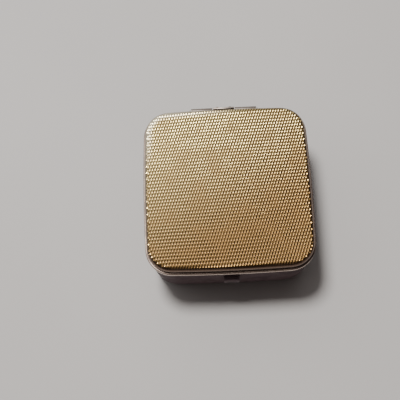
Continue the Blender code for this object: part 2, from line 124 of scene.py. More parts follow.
def light_room():
    """A room that is brighter behind and to the left, and a broad lamp above."""
    world = bpy.data.worlds.new("room")
    world.use_nodes = True
    tree = world.node_tree
    place = node(tree, "ShaderNodeTexCoord")
    facing = node(tree, "ShaderNodeVectorMath", operation="DOT_PRODUCT")
    facing.inputs[1].default_value = ROOM_TOWARDS.normalized()
    ramp = node(tree, "ShaderNodeValToRGB")
    low, high = ramp.color_ramp.elements
    low.position = 0.35
    low.color = (*ROOM_DARK, 1)
    high.position = 1.0
    high.color = (*ROOM_BRIGHT, 1)
    tree.links.new(place.outputs["Generated"], facing.inputs[0])
    tree.links.new(facing.outputs["Value"], ramp.inputs["Fac"])
    tree.links.new(ramp.outputs["Color"], tree.nodes["Background"].inputs["Color"])
    bpy.context.scene.world = world
    lamp = bpy.data.lights.new("lamp", "AREA")
    lamp.shape = "DISK"
    lamp.size = LAMP_WIDTH
    lamp.energy = LAMP_POWER
    lamp.color = LAMP_COLOUR
    lamp_object = bpy.data.objects.new("lamp", lamp)
    lamp_object.location = LAMP_PLACE
    lamp_object.rotation_euler = LAMP_PLACE.to_track_quat("Z", "Y").to_euler()
    bpy.context.scene.collection.objects.link(lamp_object)


def set_camera():
    """The camera over the catch side."""
    camera = bpy.data.cameras.new("camera")
    camera.lens = CAMERA_LENS
    camera.clip_start = 0.01
    camera_object = bpy.data.objects.new("camera", camera)
    camera_object.location = CAMERA_PLACE
    camera_object.rotation_euler = Euler([math.radians(turn) for turn in CAMERA_TURN])
    bpy.context.scene.collection.objects.link(camera_object)
    bpy.context.scene.camera = camera_object


lay_floor()
light_room()
set_camera()

# ---------------------------------------------------------------------------------------------
# Lower shell. Deep-drawn steel, 0.7 mm thick, with a rounded foot, plated dark and satin.
# Its front has a window for the push button, and its back a notch and holes for the hinge.

LID_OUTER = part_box("lid_bezel")
SHELL_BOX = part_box("base_shell")
HALF_X = LID_OUTER[1][0]
HALF_Y = -LID_OUTER[0][1]
SIDE_BOW = 0.37 * MM
CORNER_RADIUS = 9.4 * MM
SMALLEST_CORNER = 4.0 * MM
CORNER_SEGMENTS = 14
SIDE_CUTS = 11
SHELL_INSET = HALF_X - SHELL_BOX[1][0]
SHELL_SHEET = 0.7 * MM
FOOT_RADIUS = 6.0 * MM
FOOT_DRAFT = 1.5 * MM
TINY = 0.001 * MM
SHARP_ANGLE = math.radians(32)
BUTTON_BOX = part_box("catch_button")


def reaches(inset):
    """Half width and half depth of a piece at its corners, before its sides bow."""
    return HALF_X - SIDE_BOW - inset, HALF_Y - SIDE_BOW - inset


def case_block(inset, low, high):
    """A block with the case's rounded corners, and sides cut across so that they can bow."""
    half_x, half_y = reaches(inset)
    radius = max(CORNER_RADIUS - inset, SMALLEST_CORNER)
    bm = bmesh.new()
    size = Matrix.Diagonal((2 * half_x, 2 * half_y, high - low, 1))
    bmesh.ops.create_cube(bm, size=1.0, matrix=Matrix.Translation((0, 0, (low + high) / 2)) @ size)
    upright = [e for e in bm.edges if abs(e.verts[0].co.z - e.verts[1].co.z) > TINY]
    bmesh.ops.bevel(bm, geom=upright, offset=radius, offset_type="OFFSET", affect="EDGES",
                    segments=CORNER_SEGMENTS, profile=0.5, material=-1)
    straight = [e for e in bm.edges if abs(e.verts[0].co.z - e.verts[1].co.z) < TINY
                and e.calc_length() > radius]
    bmesh.ops.subdivide_edges(bm, edges=straight, cuts=SIDE_CUTS, use_grid_fill=True)
    return bm


def edges_at(bm, height):
    """The edges that lie level at one height."""
    return [e for e in bm.edges if all(abs(v.co.z - height) < TINY for v in e.verts)]


def round_rim(bm, height, radius, segments):
    """Round the edge between the sides and the top or bottom."""
    bmesh.ops.bevel(bm, geom=edges_at(bm, height), offset=radius, offset_type="OFFSET",
                    affect="EDGES", segments=segments, profile=0.5, material=-1)


def open_at(bm, height):
    """Take away the flat face at one height."""
    flat = [f for f in bm.faces if all(abs(v.co.z - height) < TINY for v in f.verts)]
    bmesh.ops.delete(bm, geom=flat, context="FACES")


def bow_sides(bm, inset):
    """Push each side gently outwards at its middle."""
    half_x, half_y = reaches(inset)
    straight_x = HALF_X - CORNER_RADIUS
    straight_y = HALF_Y - CORNER_RADIUS
    for vert in bm.verts:
        x, y, _ = vert.co
        vert.co.x += SIDE_BOW * x / half_x * max(0.0, 1 - (y / straight_y) ** 2)
        vert.co.y += SIDE_BOW * y / half_y * max(0.0, 1 - (x / straight_x) ** 2)


def as_object(name, bm, surface=None):
    """Put a bmesh into the scene."""
    mesh = bpy.data.meshes.new(name)
    bm.to_mesh(mesh)
    bm.free()
    mesh.shade_smooth()
    mesh.set_sharp_from_angle(angle=SHARP_ANGLE)
    thing = bpy.data.objects.new(name, mesh)
    bpy.context.scene.collection.objects.link(thing)
    if surface:
        mesh.materials.append(surface)
    return thing


def thicken(thing, sheet):
    """Give a surface its sheet thickness, inwards."""
    wall = thing.modifiers.new("sheet", "SOLIDIFY")
    wall.thickness = sheet
    wall.offset = -1.0
    wall.use_even_offset = True


def ease(thing, width, segments=2, angle=40):
    """Round a piece's sharp edges a little."""
    bevel = thing.modifiers.new("ease", "BEVEL")
    bevel.width = width
    bevel.segments = segments
    bevel.limit_method = "ANGLE"
    bevel.angle_limit = math.radians(angle)
    bevel.harden_normals = False


def boolean(thing, bm, operation="DIFFERENCE"):
    """Cut a tool out of a piece, or join it on, for good."""
    tool = as_object("tool", bm)
    modifier = thing.modifiers.new("tool", "BOOLEAN")
    modifier.operation = operation
    modifier.solver = "EXACT"
    modifier.object = tool
    settle(thing)
    bpy.data.objects.remove(tool)


def settle(thing):
    """Apply a piece's modifiers."""
    bpy.context.view_layer.update()
    shaped = thing.evaluated_get(bpy.context.evaluated_depsgraph_get())
    mesh = bpy.data.meshes.new_from_object(shaped)
    thing.modifiers.clear()
    thing.data = mesh
    mesh.shade_smooth()
    mesh.set_sharp_from_angle(angle=SHARP_ANGLE)


def box_tool(low, high):
    """A block between two corners."""
    low = Vector(low)
    high = Vector(high)
    bm = bmesh.new()
    size = Matrix.Diagonal((*(high - low), 1))
    bmesh.ops.create_cube(bm, size=1.0, matrix=Matrix.Translation((low + high) / 2) @ size)
    return bm


def rod_tool(radius, start, end, segments=48):
    """A round bar between two points."""
    start = Vector(start)
    axis = Vector(end) - start
    bm = bmesh.new()
    turn = axis.to_track_quat("Z", "Y").to_matrix().to_4x4()
    bmesh.ops.create_cone(bm, cap_ends=True, segments=segments, radius1=radius, radius2=radius,
                          depth=axis.length, matrix=Matrix.Translation(start + axis / 2) @ turn)
    return bm


def group_io(group, sockets):
    """Declare a group's sockets, and add its two end nodes."""
    for name, direction, kind, value in sockets:
        socket = group.interface.new_socket(name=name, in_out=direction, socket_type=kind)
        if value is not None:
            socket.default_value = value
    return group.nodes.new("NodeGroupInput"), group.nodes.new("NodeGroupOutput")


def math_node(tree, operation, first, second, third=None):
    """A Math node between sockets or numbers; gives its output socket."""
    made = tree.nodes.new("ShaderNodeMath")
    made.operation = operation
    for slot, value in enumerate((first, second, third)):
        if value is None:
            continue
        if isinstance(value, bpy.types.NodeSocket):
            tree.links.new(value, made.inputs[slot])
        else:
            made.inputs[slot].default_value = value
    return made.outputs[0]


def mix_colour(tree, factor, first, second, blend="MIX"):
    """A colour Mix node between sockets or colours; gives its output socket."""
    made = tree.nodes.new("ShaderNodeMix")
    made.data_type = "RGBA"
    made.blend_type = blend
    for slot, value in ((0, factor), (6, first), (7, second)):
        if isinstance(value, bpy.types.NodeSocket):
            tree.links.new(value, made.inputs[slot])
        else:
            made.inputs[slot].default_value = value
    return made.outputs[2]


def spread(tree, value, low, high):
    """Stretch a stretch of values to run from 0 to 1."""
    made = tree.nodes.new("ShaderNodeMapRange")
    made.interpolation_type = "SMOOTHSTEP"
    tree.links.new(value, made.inputs["Value"])
    made.inputs["From Min"].default_value = low
    made.inputs["From Max"].default_value = high
    return made.outputs["Result"]


def handled_metal():
    """Group: metal that has been carried in pockets, with smudges, fine scratches and tarnish."""
    group = bpy.data.node_groups.new("handled_metal", "ShaderNodeTree")
    start, end = group_io(group, (
        ("Metal", "INPUT", "NodeSocketColor", (0.6, 0.6, 0.6, 1)),
        ("Tarnish", "INPUT", "NodeSocketColor", (0.2, 0.15, 0.1, 1)),
        ("Age", "INPUT", "NodeSocketFloat", 0.4),
        ("Polish", "INPUT", "NodeSocketFloat", 0.2),
        ("Color", "OUTPUT", "NodeSocketColor", None),
        ("Roughness", "OUTPUT", "NodeSocketFloat", None),
        ("Height", "OUTPUT", "NodeSocketFloat", None)))
    place = node(group, "ShaderNodeTexCoord")
    cloud = node(group, "ShaderNodeTexNoise", Scale=140.0, Detail=5.0, Roughness=0.6)
    speck = node(group, "ShaderNodeTexNoise", Scale=1900.0, Detail=2.0)
    scratch = []
    for turn in (0.35, 1.9):
        stretch = node(group, "ShaderNodeMapping")
        stretch.inputs["Rotation"].default_value = (0.3, 0.2, turn)
        stretch.inputs["Scale"].default_value = (60.0, 4200.0, 900.0)
        line = node(group, "ShaderNodeTexNoise", Scale=1.0, Detail=2.0)
        group.links.new(place.outputs["Object"], stretch.inputs["Vector"])
        group.links.new(stretch.outputs["Vector"], line.inputs["Vector"])
        scratch.append(spread(group, line.outputs["Fac"], 0.62, 0.72))
    for texture in (cloud, speck):
        group.links.new(place.outputs["Object"], texture.inputs["Vector"])
    marks = math_node(group, "MAXIMUM", *scratch)
    patches = spread(group, cloud.outputs["Fac"], 0.42, 0.66)
    grains = spread(group, speck.outputs["Fac"], 0.55, 0.75)
    dirt = math_node(group, "MULTIPLY", math_node(group, "MULTIPLY_ADD", grains, 0.5, patches),
                     start.outputs["Age"])
    dirt = math_node(group, "MINIMUM", dirt, 1.0)
    colour = mix_colour(group, dirt, start.outputs["Metal"], start.outputs["Tarnish"])
    group.links.new(colour, end.inputs["Color"])
    rough = math_node(group, "MULTIPLY_ADD", dirt, 0.25, start.outputs["Polish"])
    group.links.new(math_node(group, "MULTIPLY_ADD", marks, 0.08, rough), end.inputs["Roughness"])
    group.links.new(math_node(group, "MULTIPLY_ADD", marks, -0.6, grains), end.inputs["Height"])
    return group


HANDLED_METAL = handled_metal()


def metal_material(name, metal, tarnish, age, polish, metallic=1.0, gloss=0.5):
    """A metal surface that uses the handled-metal effect."""
    made, tree, shader = new_material(name)
    effect = node(tree, "ShaderNodeGroup")
    effect.node_tree = HANDLED_METAL
    effect.inputs["Metal"].default_value = (*metal, 1)
    effect.inputs["Tarnish"].default_value = (*tarnish, 1)
    effect.inputs["Age"].default_value = age
    effect.inputs["Polish"].default_value = polish
    bump = node(tree, "ShaderNodeBump", Strength=0.35, Distance=0.004 * MM)
    tree.links.new(effect.outputs["Color"], shader.inputs["Base Color"])
    tree.links.new(effect.outputs["Roughness"], shader.inputs["Roughness"])
    tree.links.new(effect.outputs["Height"], bump.inputs["Height"])
    tree.links.new(bump.outputs["Normal"], shader.inputs["Normal"])
    shader.inputs["Metallic"].default_value = metallic
    shader.inputs["Specular IOR Level"].default_value = gloss
    return made


def stands_for(thing, body, slot, *nodes):
    """A piece that rides on a body and takes over from its CAD nodes."""
    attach(thing, body)
    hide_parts(*nodes)
    return thing


PLATE_FRESH = (0.108, 0.077, 0.082)
PLATE_AGED = (0.062, 0.043, 0.046)
DARK_PLATE = metal_material("dark_plate", PLATE_FRESH, PLATE_AGED, 0.5, 0.5, 0.0, 0.05)
PIN_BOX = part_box("hinge_pin")
HINGE_Y = (PIN_BOX[0][1] + PIN_BOX[1][1]) / 2
HINGE_Z = (PIN_BOX[0][2] + PIN_BOX[1][2]) / 2
NOTCH_LOW = HINGE_Z - 1.6 * MM
NOTCH_TOP = HINGE_Z + 1.55 * MM
NOTCH_HALF = 13.1 * MM
NOTCH_FRONT = HINGE_Y - 1.55 * MM
NOTCH_BACK = NOTCH_FRONT + 8 * MM
WINDOW_HALF_WIDTH = 2.8 * MM
WINDOW_HALF_HEIGHT = 1.8 * MM
WINDOW_REACH = 3.2 * MM
BASE_RIVETS = ("base_rivet_1", "base_rivet_2", "base_rivet_3", "base_rivet_4")
LID_RIVETS = ("lid_rivet_1", "lid_rivet_2")
GUIDE_RIVETS = ("guide_rivet_1", "guide_rivet_2")
HOLE_RADIUS = 0.52 * MM
HOLE_REACH = 4.0 * MM


def drill(thing, cad_rivets, direction):
    """Bore a hole for each rivet."""
    for name in cad_rivets:
        low, high = (Vector(corner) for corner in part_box(name))
        reach = Vector(direction) * HOLE_REACH
        middle = (low + high) / 2
        boolean(thing, rod_tool(HOLE_RADIUS, middle - reach, middle + reach, 24))


def hinge_notch():
    """The room cut out for the knuckles."""
    return box_tool((-NOTCH_HALF, NOTCH_FRONT, NOTCH_LOW), (NOTCH_HALF, NOTCH_BACK, NOTCH_TOP))


def make_base_shell():
    """Draw the pan, taper it, thicken it and cut its window and notch."""
    top = SHELL_BOX[1][2]
    bm = case_block(SHELL_INSET, 0.0, top)
    round_rim(bm, 0.0, FOOT_RADIUS, 10)
    open_at(bm, top)
    for vert in bm.verts:
        lean = 1 - FOOT_DRAFT * (1 - vert.co.z / top) / HALF_X
        vert.co.x *= lean
        vert.co.y *= lean
    bow_sides(bm, SHELL_INSET)
    shell = as_object("drawn_shell", bm, DARK_PLATE)
    thicken(shell, SHELL_SHEET)
    settle(shell)
    boolean(shell, hinge_notch())
    low, high = BUTTON_BOX
    middle = (low[2] + high[2]) / 2
    boolean(shell, box_tool((-WINDOW_HALF_WIDTH, low[1], middle - WINDOW_HALF_HEIGHT),
                            (WINDOW_HALF_WIDTH, low[1] + WINDOW_REACH, middle + WINDOW_HALF_HEIGHT)))
    drill(shell, BASE_RIVETS, (0, 1, 0))
    return stands_for(shell, "base", "dark_steel", "base_shell")


make_base_shell()

# ---------------------------------------------------------------------------------------------
# Rims. Two rolled nickel beads, one round each half, with a rounded outer edge. The lower one
# is rubbed bright and runs round the tray's deck. The upper one is dull, and closes the lid.

NICKEL = metal_material("nickel", (0.72, 0.68, 0.63), (0.30, 0.24, 0.19), 0.35, 0.16)
WORN_RIM = metal_material("worn_rim", (0.90, 0.76, 0.66), (0.45, 0.34, 0.27), 0.3, 0.20)
DULL_RIM = metal_material("dull_rim", (0.150, 0.105, 0.080), (0.080, 0.052, 0.040),
                          0.5, 0.34, 0.3, 0.35)
BASE_RIM_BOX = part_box("base_bezel")
LID_RIM_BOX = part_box("lid_bezel")
SHELL_GAP = 0.02 * MM
RIM_SEAM = 0.12 * MM
RIM_RISE = 0.15 * MM
BEAD_ROUND = 0.22 * MM
BEAD_SEGMENTS = 4
LOWER_RIM_WIDTH = 1.9 * MM
UPPER_RIM_WIDTH = 2.3 * MM


def make_rim(name, low, high, width, surface, body, cad_node):
    """A flat band round the case with a rounded outer edge."""
    bm = case_block(0.0, low, high)
    open_at(bm, low)
    open_at(bm, high)
    bow_sides(bm, 0.0)
    rim = as_object(name, bm, surface)
    thicken(rim, width)
    ease(rim, BEAD_ROUND, BEAD_SEGMENTS)
    settle(rim)
    boolean(rim, hinge_notch())
    return stands_for(rim, body, "nickel_rim", cad_node)


BASE_RIM_LOW = SHELL_BOX[1][2] + SHELL_GAP
BASE_RIM_TOP = BASE_RIM_BOX[1][2]
LID_RIM_LOW = BASE_RIM_TOP + RIM_SEAM
LID_RIM_TOP = LID_RIM_BOX[1][2] + RIM_RISE
make_rim("lower_rim", BASE_RIM_LOW, BASE_RIM_TOP, LOWER_RIM_WIDTH, WORN_RIM, "base", "base_bezel")
make_rim("upper_rim", LID_RIM_LOW, LID_RIM_TOP, UPPER_RIM_WIDTH, DULL_RIM, "lid", "lid_bezel")

# ---------------------------------------------------------------------------------------------
# Lid cover. Thin brass sheet rolled with rows of small leaning bumps, which fade out where it was
# pressed over the shoulder. Gilt, rubbed bright on the bumps and dark between them.

COVER_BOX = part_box("lid_cover")
COVER_INSET = HALF_X - COVER_BOX[1][0]
COVER_LOW = COVER_BOX[0][2] - 0.14 * MM
COVER_FLAT = COVER_BOX[1][2] - 0.55 * MM
SHOULDER_RADIUS = 1.7 * MM
CROWN = 0.38 * MM
BUMP_PITCH = 0.97 * MM
BUMP_ROW = 1.21 * MM
BUMP_HEIGHT = 0.24 * MM
BUMP_TURN = math.radians(1.9)
CELLS_PER_PITCH = 4
CELLS_PER_ROW = 5
LEAN_WEIGHTS = (1.0, 0.62, 0.50)
COVER_SHEET = 0.6 * MM
INNER_LEAN = 1.3 * MM
INNER_DROP = 0.75 * MM
SIDE_SHARPNESS = 9
PLAIN_EDGE = (0.55 * MM, 1.50 * MM)
# Painted highlight: the shoulder band, measured as distance past the flat top, that is painted whiter
# near the back-left corner.
HIGHLIGHT_BAND = (-2.0 * MM, 0.8 * MM)
# Painted light: along this slant, the gilt, bump-top and edge colours run from painted shade at the
# front-right to painted light at the back-left.
PAINTED_LIGHT_SLANT = (-25 * MM, 46 * MM)
# Painted highlight: this slant keeps the highlight to the back-left corner.
HIGHLIGHT_SLANT = (22 * MM, 46 * MM)
SLANT_LEAN = -0.6
# Each pair below is one colour painted twice: shaded first, lit second.
GILT_PAINTED_SHADE = (0.200, 0.121, 0.040, 1)
GILT_PAINTED_LIGHT = (0.74, 0.59, 0.26, 1)
PEAK_PAINTED_SHADE = (0.40, 0.28, 0.12, 1)
PEAK_PAINTED_LIGHT = (0.98, 0.86, 0.50, 1)
EDGE_PAINTED_SHADE = (0.17, 0.115, 0.085, 1)
EDGE_PAINTED_LIGHT = (0.50, 0.43, 0.34, 1)
# Painted highlight: the whitish colour put on the back-left shoulder.
PAINTED_HIGHLIGHT = (0.96, 0.90, 0.72, 1)
GILT_TARNISH = (0.24, 0.125, 0.04, 1)
VALLEY_DIRT = (0.050, 0.028, 0.014, 1)


def smooth_share(value, low, high):
    """How far a value has gone from low to high, eased at both ends."""
    share = min(max((value - low) / (high - low), 0.0), 1.0)
    return share * share * (3 - 2 * share)


def bump_relief(x, y):
    """Height of the rolled pattern, from 0 in the valleys to 1 on the bumps."""
    along = x / BUMP_PITCH
    across = y / BUMP_ROW
    waves = (along - across / 2, across, along + across / 2)
    total = sum(weight * math.cos(2 * math.pi * wave) for weight, wave in zip(LEAN_WEIGHTS, waves))
    lowest = -0.5 * sum(LEAN_WEIGHTS)
    return max(0.0, (total - lowest) / (sum(LEAN_WEIGHTS) - lowest))


def past_shoulder(x, y):
    """How far a point of the sheet lies past the flat top, below 0 inside it, and its way out."""
    inset = COVER_INSET + SHOULDER_RADIUS
    half_x, half_y = reaches(inset)
    radius = CORNER_RADIUS - inset
    core = Vector((max(abs(x) - (half_x - radius), 0.0), max(abs(y) - (half_y - radius), 0.0)))
    sign = Vector((math.copysign(1, x), math.copysign(1, y)))
    if core.length < TINY:
        return -radius, Vector((0, 0))
    out = core.normalized()
    return core.length - radius, Vector((out.x * sign.x, out.y * sign.y))


def press_over(x, y, relief):
    """Place a point of the flat sheet on the pressed lid, raised by the relief along its normal."""
    beyond, out = past_shoulder(x, y)
    beyond = max(beyond, 0.0)
    start = Vector((x, y)) - out * beyond
    quarter = SHOULDER_RADIUS * math.pi / 2
    skirt = COVER_FLAT - SHOULDER_RADIUS - COVER_LOW
    beyond = min(beyond, quarter + skirt)
    angle = min(beyond, quarter) / SHOULDER_RADIUS
    radius = SHOULDER_RADIUS - BUMP_HEIGHT + relief * BUMP_HEIGHT
    flat = start + out * radius * math.sin(angle)
    drop = SHOULDER_RADIUS - radius * math.cos(angle) + max(beyond - quarter, 0.0)
    crown = CROWN * max(0.0, 1 - (start.x / HALF_X) ** 2) * max(0.0, 1 - (start.y / HALF_Y) ** 2)
    return Vector((flat.x, flat.y, COVER_FLAT + crown - drop))


def gilt_material():
    """Gilt brass: dark valleys, bright bumps, painted light towards the back-left, and a painted
    highlight there.
    """
    made, tree, shader = new_material("gilt")
    place = node(tree, "ShaderNodeTexCoord")
    axes = node(tree, "ShaderNodeSeparateXYZ")
    tree.links.new(place.outputs["Object"], axes.inputs["Vector"])
    slant = math_node(tree, "MULTIPLY_ADD", axes.outputs["X"], SLANT_LEAN, axes.outputs["Y"])
    # Painted light: this share rises from the front-right to the back-left, and the lid's colours are
    # mixed by it from painted shade to painted light.
    wear_and_painted_light = spread(tree, slant, *PAINTED_LIGHT_SLANT)
    effect = node(tree, "ShaderNodeGroup")
    effect.node_tree = HANDLED_METAL
    tree.links.new(mix_colour(tree, wear_and_painted_light, GILT_PAINTED_SHADE, GILT_PAINTED_LIGHT), effect.inputs["Metal"])
    effect.inputs["Tarnish"].default_value = GILT_TARNISH
    effect.inputs["Age"].default_value = 0.35
    effect.inputs["Polish"].default_value = 0.2
    relief = node(tree, "ShaderNodeAttribute", attribute_name="relief")
    plain = node(tree, "ShaderNodeAttribute", attribute_name="plain").outputs["Fac"]
    valley = spread(tree, relief.outputs["Fac"], 0.05, 0.55)
    colour = mix_colour(tree, valley, VALLEY_DIRT, effect.outputs["Color"])
    peak = spread(tree, relief.outputs["Fac"], 0.6, 1.0)
    polished = math_node(tree, "MULTIPLY", peak, 0.45)
    # The bump tops are also painted lighter towards the back-left.
    colour = mix_colour(tree, polished, colour, mix_colour(tree, wear_and_painted_light, PEAK_PAINTED_SHADE, PEAK_PAINTED_LIGHT))
    # Painted highlight: the shoulder band near the back-left corner is mixed halfway towards a whitish
    # colour.
    painted_highlight_band = node(tree, "ShaderNodeAttribute", attribute_name="painted_highlight_band").outputs["Fac"]
    painted_highlight = math_node(tree, "MULTIPLY", painted_highlight_band, spread(tree, slant, *HIGHLIGHT_SLANT))
    colour = mix_colour(tree, math_node(tree, "MULTIPLY", painted_highlight, 0.5), colour, PAINTED_HIGHLIGHT)
    # The plain edge is also painted from shade at the front-right to light at the back-left.
    colour = mix_colour(tree, plain, colour, mix_colour(tree, wear_and_painted_light, EDGE_PAINTED_SHADE, EDGE_PAINTED_LIGHT))
    tree.links.new(colour, shader.inputs["Base Color"])
    rough = math_node(tree, "MULTIPLY_ADD", valley, -0.18, 0.2)
    rough = math_node(tree, "ADD", rough, effect.outputs["Roughness"])
    tree.links.new(math_node(tree, "MULTIPLY_ADD", plain, -0.16, rough), shader.inputs["Roughness"])
    shader.inputs["Metallic"].default_value = 1.0
    return made


def make_cover():
    """Roll the sheet, press it, turn in its lower edge and close its back."""
    reach_x = HALF_X + 2 * SHOULDER_RADIUS
    reach_y = HALF_Y + 2 * SHOULDER_RADIUS
    cell_x = BUMP_PITCH / CELLS_PER_PITCH
    cell_y = BUMP_ROW / CELLS_PER_ROW
    count_x = 2 * round(reach_x / cell_x)
    count_y = 2 * round(reach_y / cell_y)
    bm = bmesh.new()
    size = Matrix.Diagonal((count_x * cell_x, count_y * cell_y, 1, 1))
    bmesh.ops.create_grid(bm, x_segments=count_x, y_segments=count_y, size=0.5, matrix=size)
    relief_layer = bm.verts.layers.float.new("relief")
    plain_layer = bm.verts.layers.float.new("plain")
    highlight_band_layer = bm.verts.layers.float.new("painted_highlight_band")
    turn = Matrix.Rotation(BUMP_TURN, 2)
    limit = SHOULDER_RADIUS * math.pi / 2 + COVER_FLAT - SHOULDER_RADIUS - COVER_LOW
    outside = set()
    for vert in bm.verts:
        relief = bump_relief(vert.co.x, vert.co.y)
        flat = turn @ vert.co.xy
        beyond = past_shoulder(flat.x, flat.y)[0]
        if beyond >= limit:
            outside.add(vert)
        plain = smooth_share(beyond, *PLAIN_EDGE)
        relief *= 1 - plain
        vert[relief_layer] = relief
        vert[plain_layer] = plain
        # Mark the shoulder band that takes the painted highlight.
        vert[highlight_band_layer] = smooth_share(beyond, *HIGHLIGHT_BAND)
        vert.co = press_over(flat.x, flat.y, relief)
    spare = [f for f in bm.faces if all(v in outside for v in f.verts)]
    bmesh.ops.delete(bm, geom=spare, context="FACES")
    bow_sides(bm, COVER_INSET)
    close_back(bm)
    cover = as_object("embossed_cover", bm, gilt_material())
    boolean(cover, hinge_notch())
    drill(cover, LID_RIVETS, (0, 1, 0))
    return stands_for(cover, "lid", "gilt_sheet", "lid_cover")


def close_back(bm):
    """Turn the lower edge in, carry it up inside and close it under the top."""
    half_x, half_y = reaches(COVER_INSET)
    for shift, height in ((COVER_SHEET, COVER_LOW), (0.0, COVER_FLAT - SHOULDER_RADIUS),
                          (INNER_LEAN, COVER_FLAT - INNER_DROP)):
        edge = [e for e in bm.edges if e.is_boundary]
        made = bmesh.ops.extrude_edge_only(bm, edges=edge)["geom"]
        for vert in (piece for piece in made if isinstance(piece, bmesh.types.BMVert)):
            out = Vector(((vert.co.x / half_x) ** SIDE_SHARPNESS, (vert.co.y / half_y) ** SIDE_SHARPNESS))
            out.normalize()
            vert.co.x -= out.x * shift
            vert.co.y -= out.y * shift
            vert.co.z = height
    edge = [e for e in bm.edges if e.is_boundary]
    bmesh.ops.contextual_create(bm, geom=edge)


make_cover()

# ---------------------------------------------------------------------------------------------
# Lid liner. A shallow brass pan pressed into the lid under the embossed sheet. It stiffens the
# lid, carries the pad, and is riveted to the hinge through the cover.

BRASS = metal_material("brass", (0.80, 0.62, 0.34), (0.42, 0.26, 0.10), 0.45, 0.22)
LINER_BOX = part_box("lid_liner")
LINER_INSET = HALF_X - LINER_BOX[1][0]
LINER_SHOULDER = 1.1 * MM
PAN_SHEET = 0.4 * MM
LINER_EASE = 0.08 * MM


def make_liner():
    """Press the pan."""
    low, high = LINER_BOX
    bm = case_block(LINER_INSET, low[2], high[2])
    round_rim(bm, high[2], LINER_SHOULDER, 8)
    open_at(bm, low[2])
    bow_sides(bm, LINER_INSET)
    liner = as_object("lid_pan", bm, BRASS)
    thicken(liner, PAN_SHEET)
    ease(liner, LINER_EASE)
    settle(liner)
    drill(liner, LID_RIVETS, (0, 1, 0))
    return stands_for(liner, "lid", "brass_pan", "lid_liner")


make_liner()

# ---------------------------------------------------------------------------------------------
# Pads. Wool felt over a little wadding: one glued into the lid over the cake, and a thicker bed
# glued to the floor of the well. Their edges are drawn in, and their faces are slightly crowned.

PAD_RINGS = 5
PAD_RING_WIDTH = 2.2 * MM
FELT_DEEP = (0.085, 0.006, 0.014, 1)
FELT_LIT = (0.24, 0.022, 0.040, 1)
FELT_DUST = (0.62, 0.48, 0.36, 1)


def felt_material():
    """Claret wool felt, matted from short fibres, with some rosin dust in it."""
    made, tree, shader = new_material("claret_felt")
    place = node(tree, "ShaderNodeTexCoord")
    mat = node(tree, "ShaderNodeTexNoise", Scale=900.0, Detail=6.0, Roughness=0.75)
    fibre = node(tree, "ShaderNodeTexVoronoi", feature="DISTANCE_TO_EDGE", Scale=1500.0)
    dust = node(tree, "ShaderNodeTexNoise", Scale=160.0, Detail=4.0)
    for texture in (mat, fibre, dust):
        tree.links.new(place.outputs["Object"], texture.inputs["Vector"])
    shade = spread(tree, mat.outputs["Fac"], 0.35, 0.65)
    colour = mix_colour(tree, shade, FELT_DEEP, FELT_LIT)
    powder = math_node(tree, "MULTIPLY", spread(tree, dust.outputs["Fac"], 0.6, 0.85), 0.12)
    colour = mix_colour(tree, powder, colour, FELT_DUST)
    tree.links.new(colour, shader.inputs["Base Color"])
    height = math_node(tree, "MULTIPLY_ADD", fibre.outputs["Distance"], 0.6, mat.outputs["Fac"])
    bump = node(tree, "ShaderNodeBump", Strength=0.8, Distance=0.15 * MM)
    tree.links.new(height, bump.inputs["Height"])
    tree.links.new(bump.outputs["Normal"], shader.inputs["Normal"])
    shader.inputs["Roughness"].default_value = 0.95
    shader.inputs["Sheen Weight"].default_value = 0.5
    shader.inputs["Sheen Roughness"].default_value = 0.4
    return made


FELT = felt_material()


def make_pad(name, cad_node, body, edge, rise, face_up):
    """A pad with rounded edges whose show face rises in rings towards the middle."""
    low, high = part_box(cad_node)
    inset = HALF_X - high[0]
    bottom = low[2] + (0 if face_up else rise)
    top = high[2] - (rise if face_up else 0)
    bm = case_block(inset, bottom, top)
    for height in (bottom, top):
        round_rim(bm, height, edge, 5)
    show = top if face_up else bottom
    face = [f for f in bm.faces if all(abs(v.co.z - show) < TINY for v in f.verts)]
    for ring in range(PAD_RINGS):
        step = rise * (PAD_RINGS - ring) / sum(range(PAD_RINGS + 1))
        made = bmesh.ops.extrude_face_region(bm, geom=face)["geom"]
        bmesh.ops.delete(bm, geom=face, context="FACES")
        face = [piece for piece in made if isinstance(piece, bmesh.types.BMFace)]
        verts = {v for f in face for v in f.verts}
        reach = max(v.co.x for v in verts)
        for vert in verts:
            vert.co.x *= 1 - PAD_RING_WIDTH / reach
            vert.co.y *= 1 - PAD_RING_WIDTH / reach
            vert.co.z += step if face_up else -step
    bow_sides(bm, inset)
    pad = as_object(name, bm, FELT)
    pad.data.set_sharp_from_angle(angle=math.pi)
    return stands_for(pad, body, "felt", cad_node)


make_pad("lid_pad", "lid_felt", "lid", 0.6 * MM, 0.35 * MM, False)
make_pad("cake_bed", "tray_felt", "base", 0.9 * MM, 0.3 * MM, True)

# ---------------------------------------------------------------------------------------------
# Cake pan. A flat brass deck that lies inside the lower rim, with a deep drawn well for the cake
# and a slot at the front for the hook. The bracket of the catch is riveted under it.

TRAY_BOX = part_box("cake_tray")
DECK_INSET = HALF_X - TRAY_BOX[1][0]
WELL_INSET = 9.5 * MM
WELL_ROUND = 0.8 * MM
HOOK_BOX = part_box("catch_hook")
TRAY_EASE = 0.12 * MM
SLOT_HALF = 3.1 * MM
SLOT_LENGTH = (2.8 * MM, 6.0 * MM)


